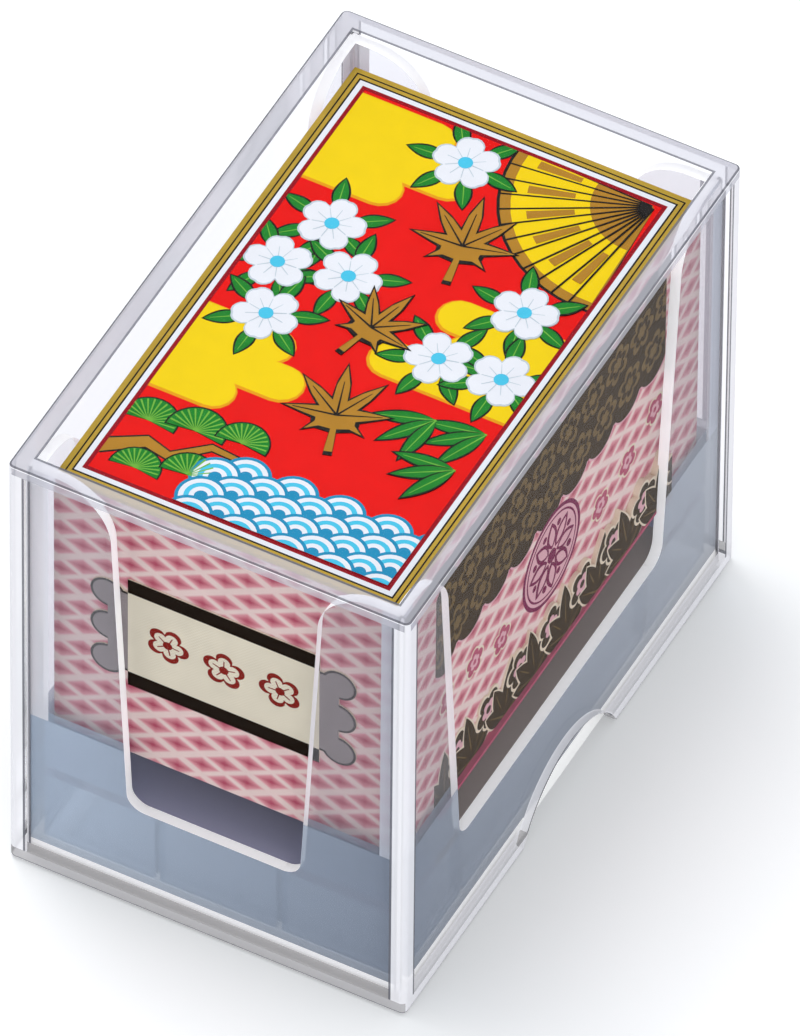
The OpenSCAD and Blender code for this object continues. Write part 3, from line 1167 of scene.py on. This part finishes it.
# Fine crossed threads
def linenColour(tree):
    parts = objectParts(tree)
    threads = None
    for axis in ("X", "Z"):
        turns = mathNode(tree, "MULTIPLY", parts[axis], 2 * math.pi / (endLabelArt["weave"] * mm))
        wave = mathNode(tree, "SINE", turns)
        threads = wave if threads is None else mathNode(tree, "MULTIPLY", threads, wave)
    share = mathNode(tree, "MULTIPLY_ADD", threads, 0.5, 0.5)
    return blendColour(tree, share, endLabelArt["dark"], endLabelArt["light"])


linenInks = {
    "cream": mattInk("end label linen", linenColour, 0.15, 0.65),
    "darkBand": mattInk("dark brown ink", (0.013, 0.007, 0.004), 0.25, 0.5),
    "wing": mattInk("grey wing ink", (0.34, 0.29, 0.28), 0.2),
    "wingLine": mattInk("grey line ink", (0.06, 0.05, 0.045), 0.2),
    "markRed": mattInk("dark red mark", (0.28, 0.022, 0.016), 0.25, 0.5),
}


def drawEndLabel(art):
    shapes = []
    halfW, halfH = art["panel"][0] / 2, art["panel"][1] / 2
    lobe = art["lobe"]
    for side in (-1, 1):
        lobeU = side * (halfW + art["lobeReach"] - lobe)
        near, far = sorted((side * halfW, lobeU))
        for ink, inset in (("wingLine", 0.0), ("wing", art["wingOutline"])):
            shapes.append((ink, rectangle(near, -halfH + lobe + inset, far, halfH - lobe - inset)))
            for row in (-1, 0, 1):
                shapes.append((ink, disc((lobeU, row * (halfH - 1.5 * lobe)), lobe - inset, 30)))
    for sign in (-1, 1):
        v0, v1 = sorted((sign * (halfH - art["bandTall"]), sign * halfH))
        shapes.append(("darkBand", rectangle(-halfW, v0, halfW, v1)))
    for i in (-1, 0, 1):
        centre = (i * art["markPitch"], 0.25 * (i % 2))
        radius = art["markRadius"]
        turn = 17 + 23 * i
        shapes.append(("markRed", blossom(centre, radius, 5, math.radians(turn), 0.36)))
        shapes.append(("cream", blossom(centre, radius * 0.74, 5, math.radians(turn), 0.36)))
        for k in range(5):
            tip = alongAngle(centre, 0.55 * radius, turn + 72 * k)
            shapes.append(("markRed", ribbon([centre, tip], 0.14, 0.1)))
        shapes.append(("markRed", disc(centre, radius * 0.22, 14)))
    return shapes


def makeEndLabel():
    low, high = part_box("end_label")
    base = softCopy(["end_label"], "end_label_board", endLabelArt["edgeRound"], [linenInks["cream"]], 1)
    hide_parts("end_label")
    middle = Vector(((low.x + high.x) / 2, low.y, (low.z + high.z) / 2))
    half = ((high.x - low.x) / 2 / mm, (high.z - low.z) / 2 / mm)
    art = buildPrint("end_label_print", drawEndLabel(endLabelArt), linenInks, middle,
                     Vector((1, 0, 0)), Vector((0, 0, 1)), half)
    for piece in (base, art):
        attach(piece, "jacket")


makeEndLabel()
print("end label ready")

# Cards

cardLook = {"edgeRound": 0.16}  # mm
cardBack = printInk("card back paper", (0.24, 0.035, 0.022), 0.3, 0.5)
cardFace = printInk("card face paper", (0.88, 0.83, 0.70), 0.2, 0.55)


# The back paper is folded round the edges of the face, which looks down
def makeCards():
    for body, members in frame["record"]["behaviour"]["bodies"].items():
        for node in members:
            if "card" in node:
                card = softCopy([node], node + "_paper", cardLook["edgeRound"], [cardBack, cardFace])
                for face in card.data.polygons:
                    face.material_index = int(face.normal.z < -0.99)
                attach(card, body)
                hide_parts(node)


makeCards()
print("cards ready")
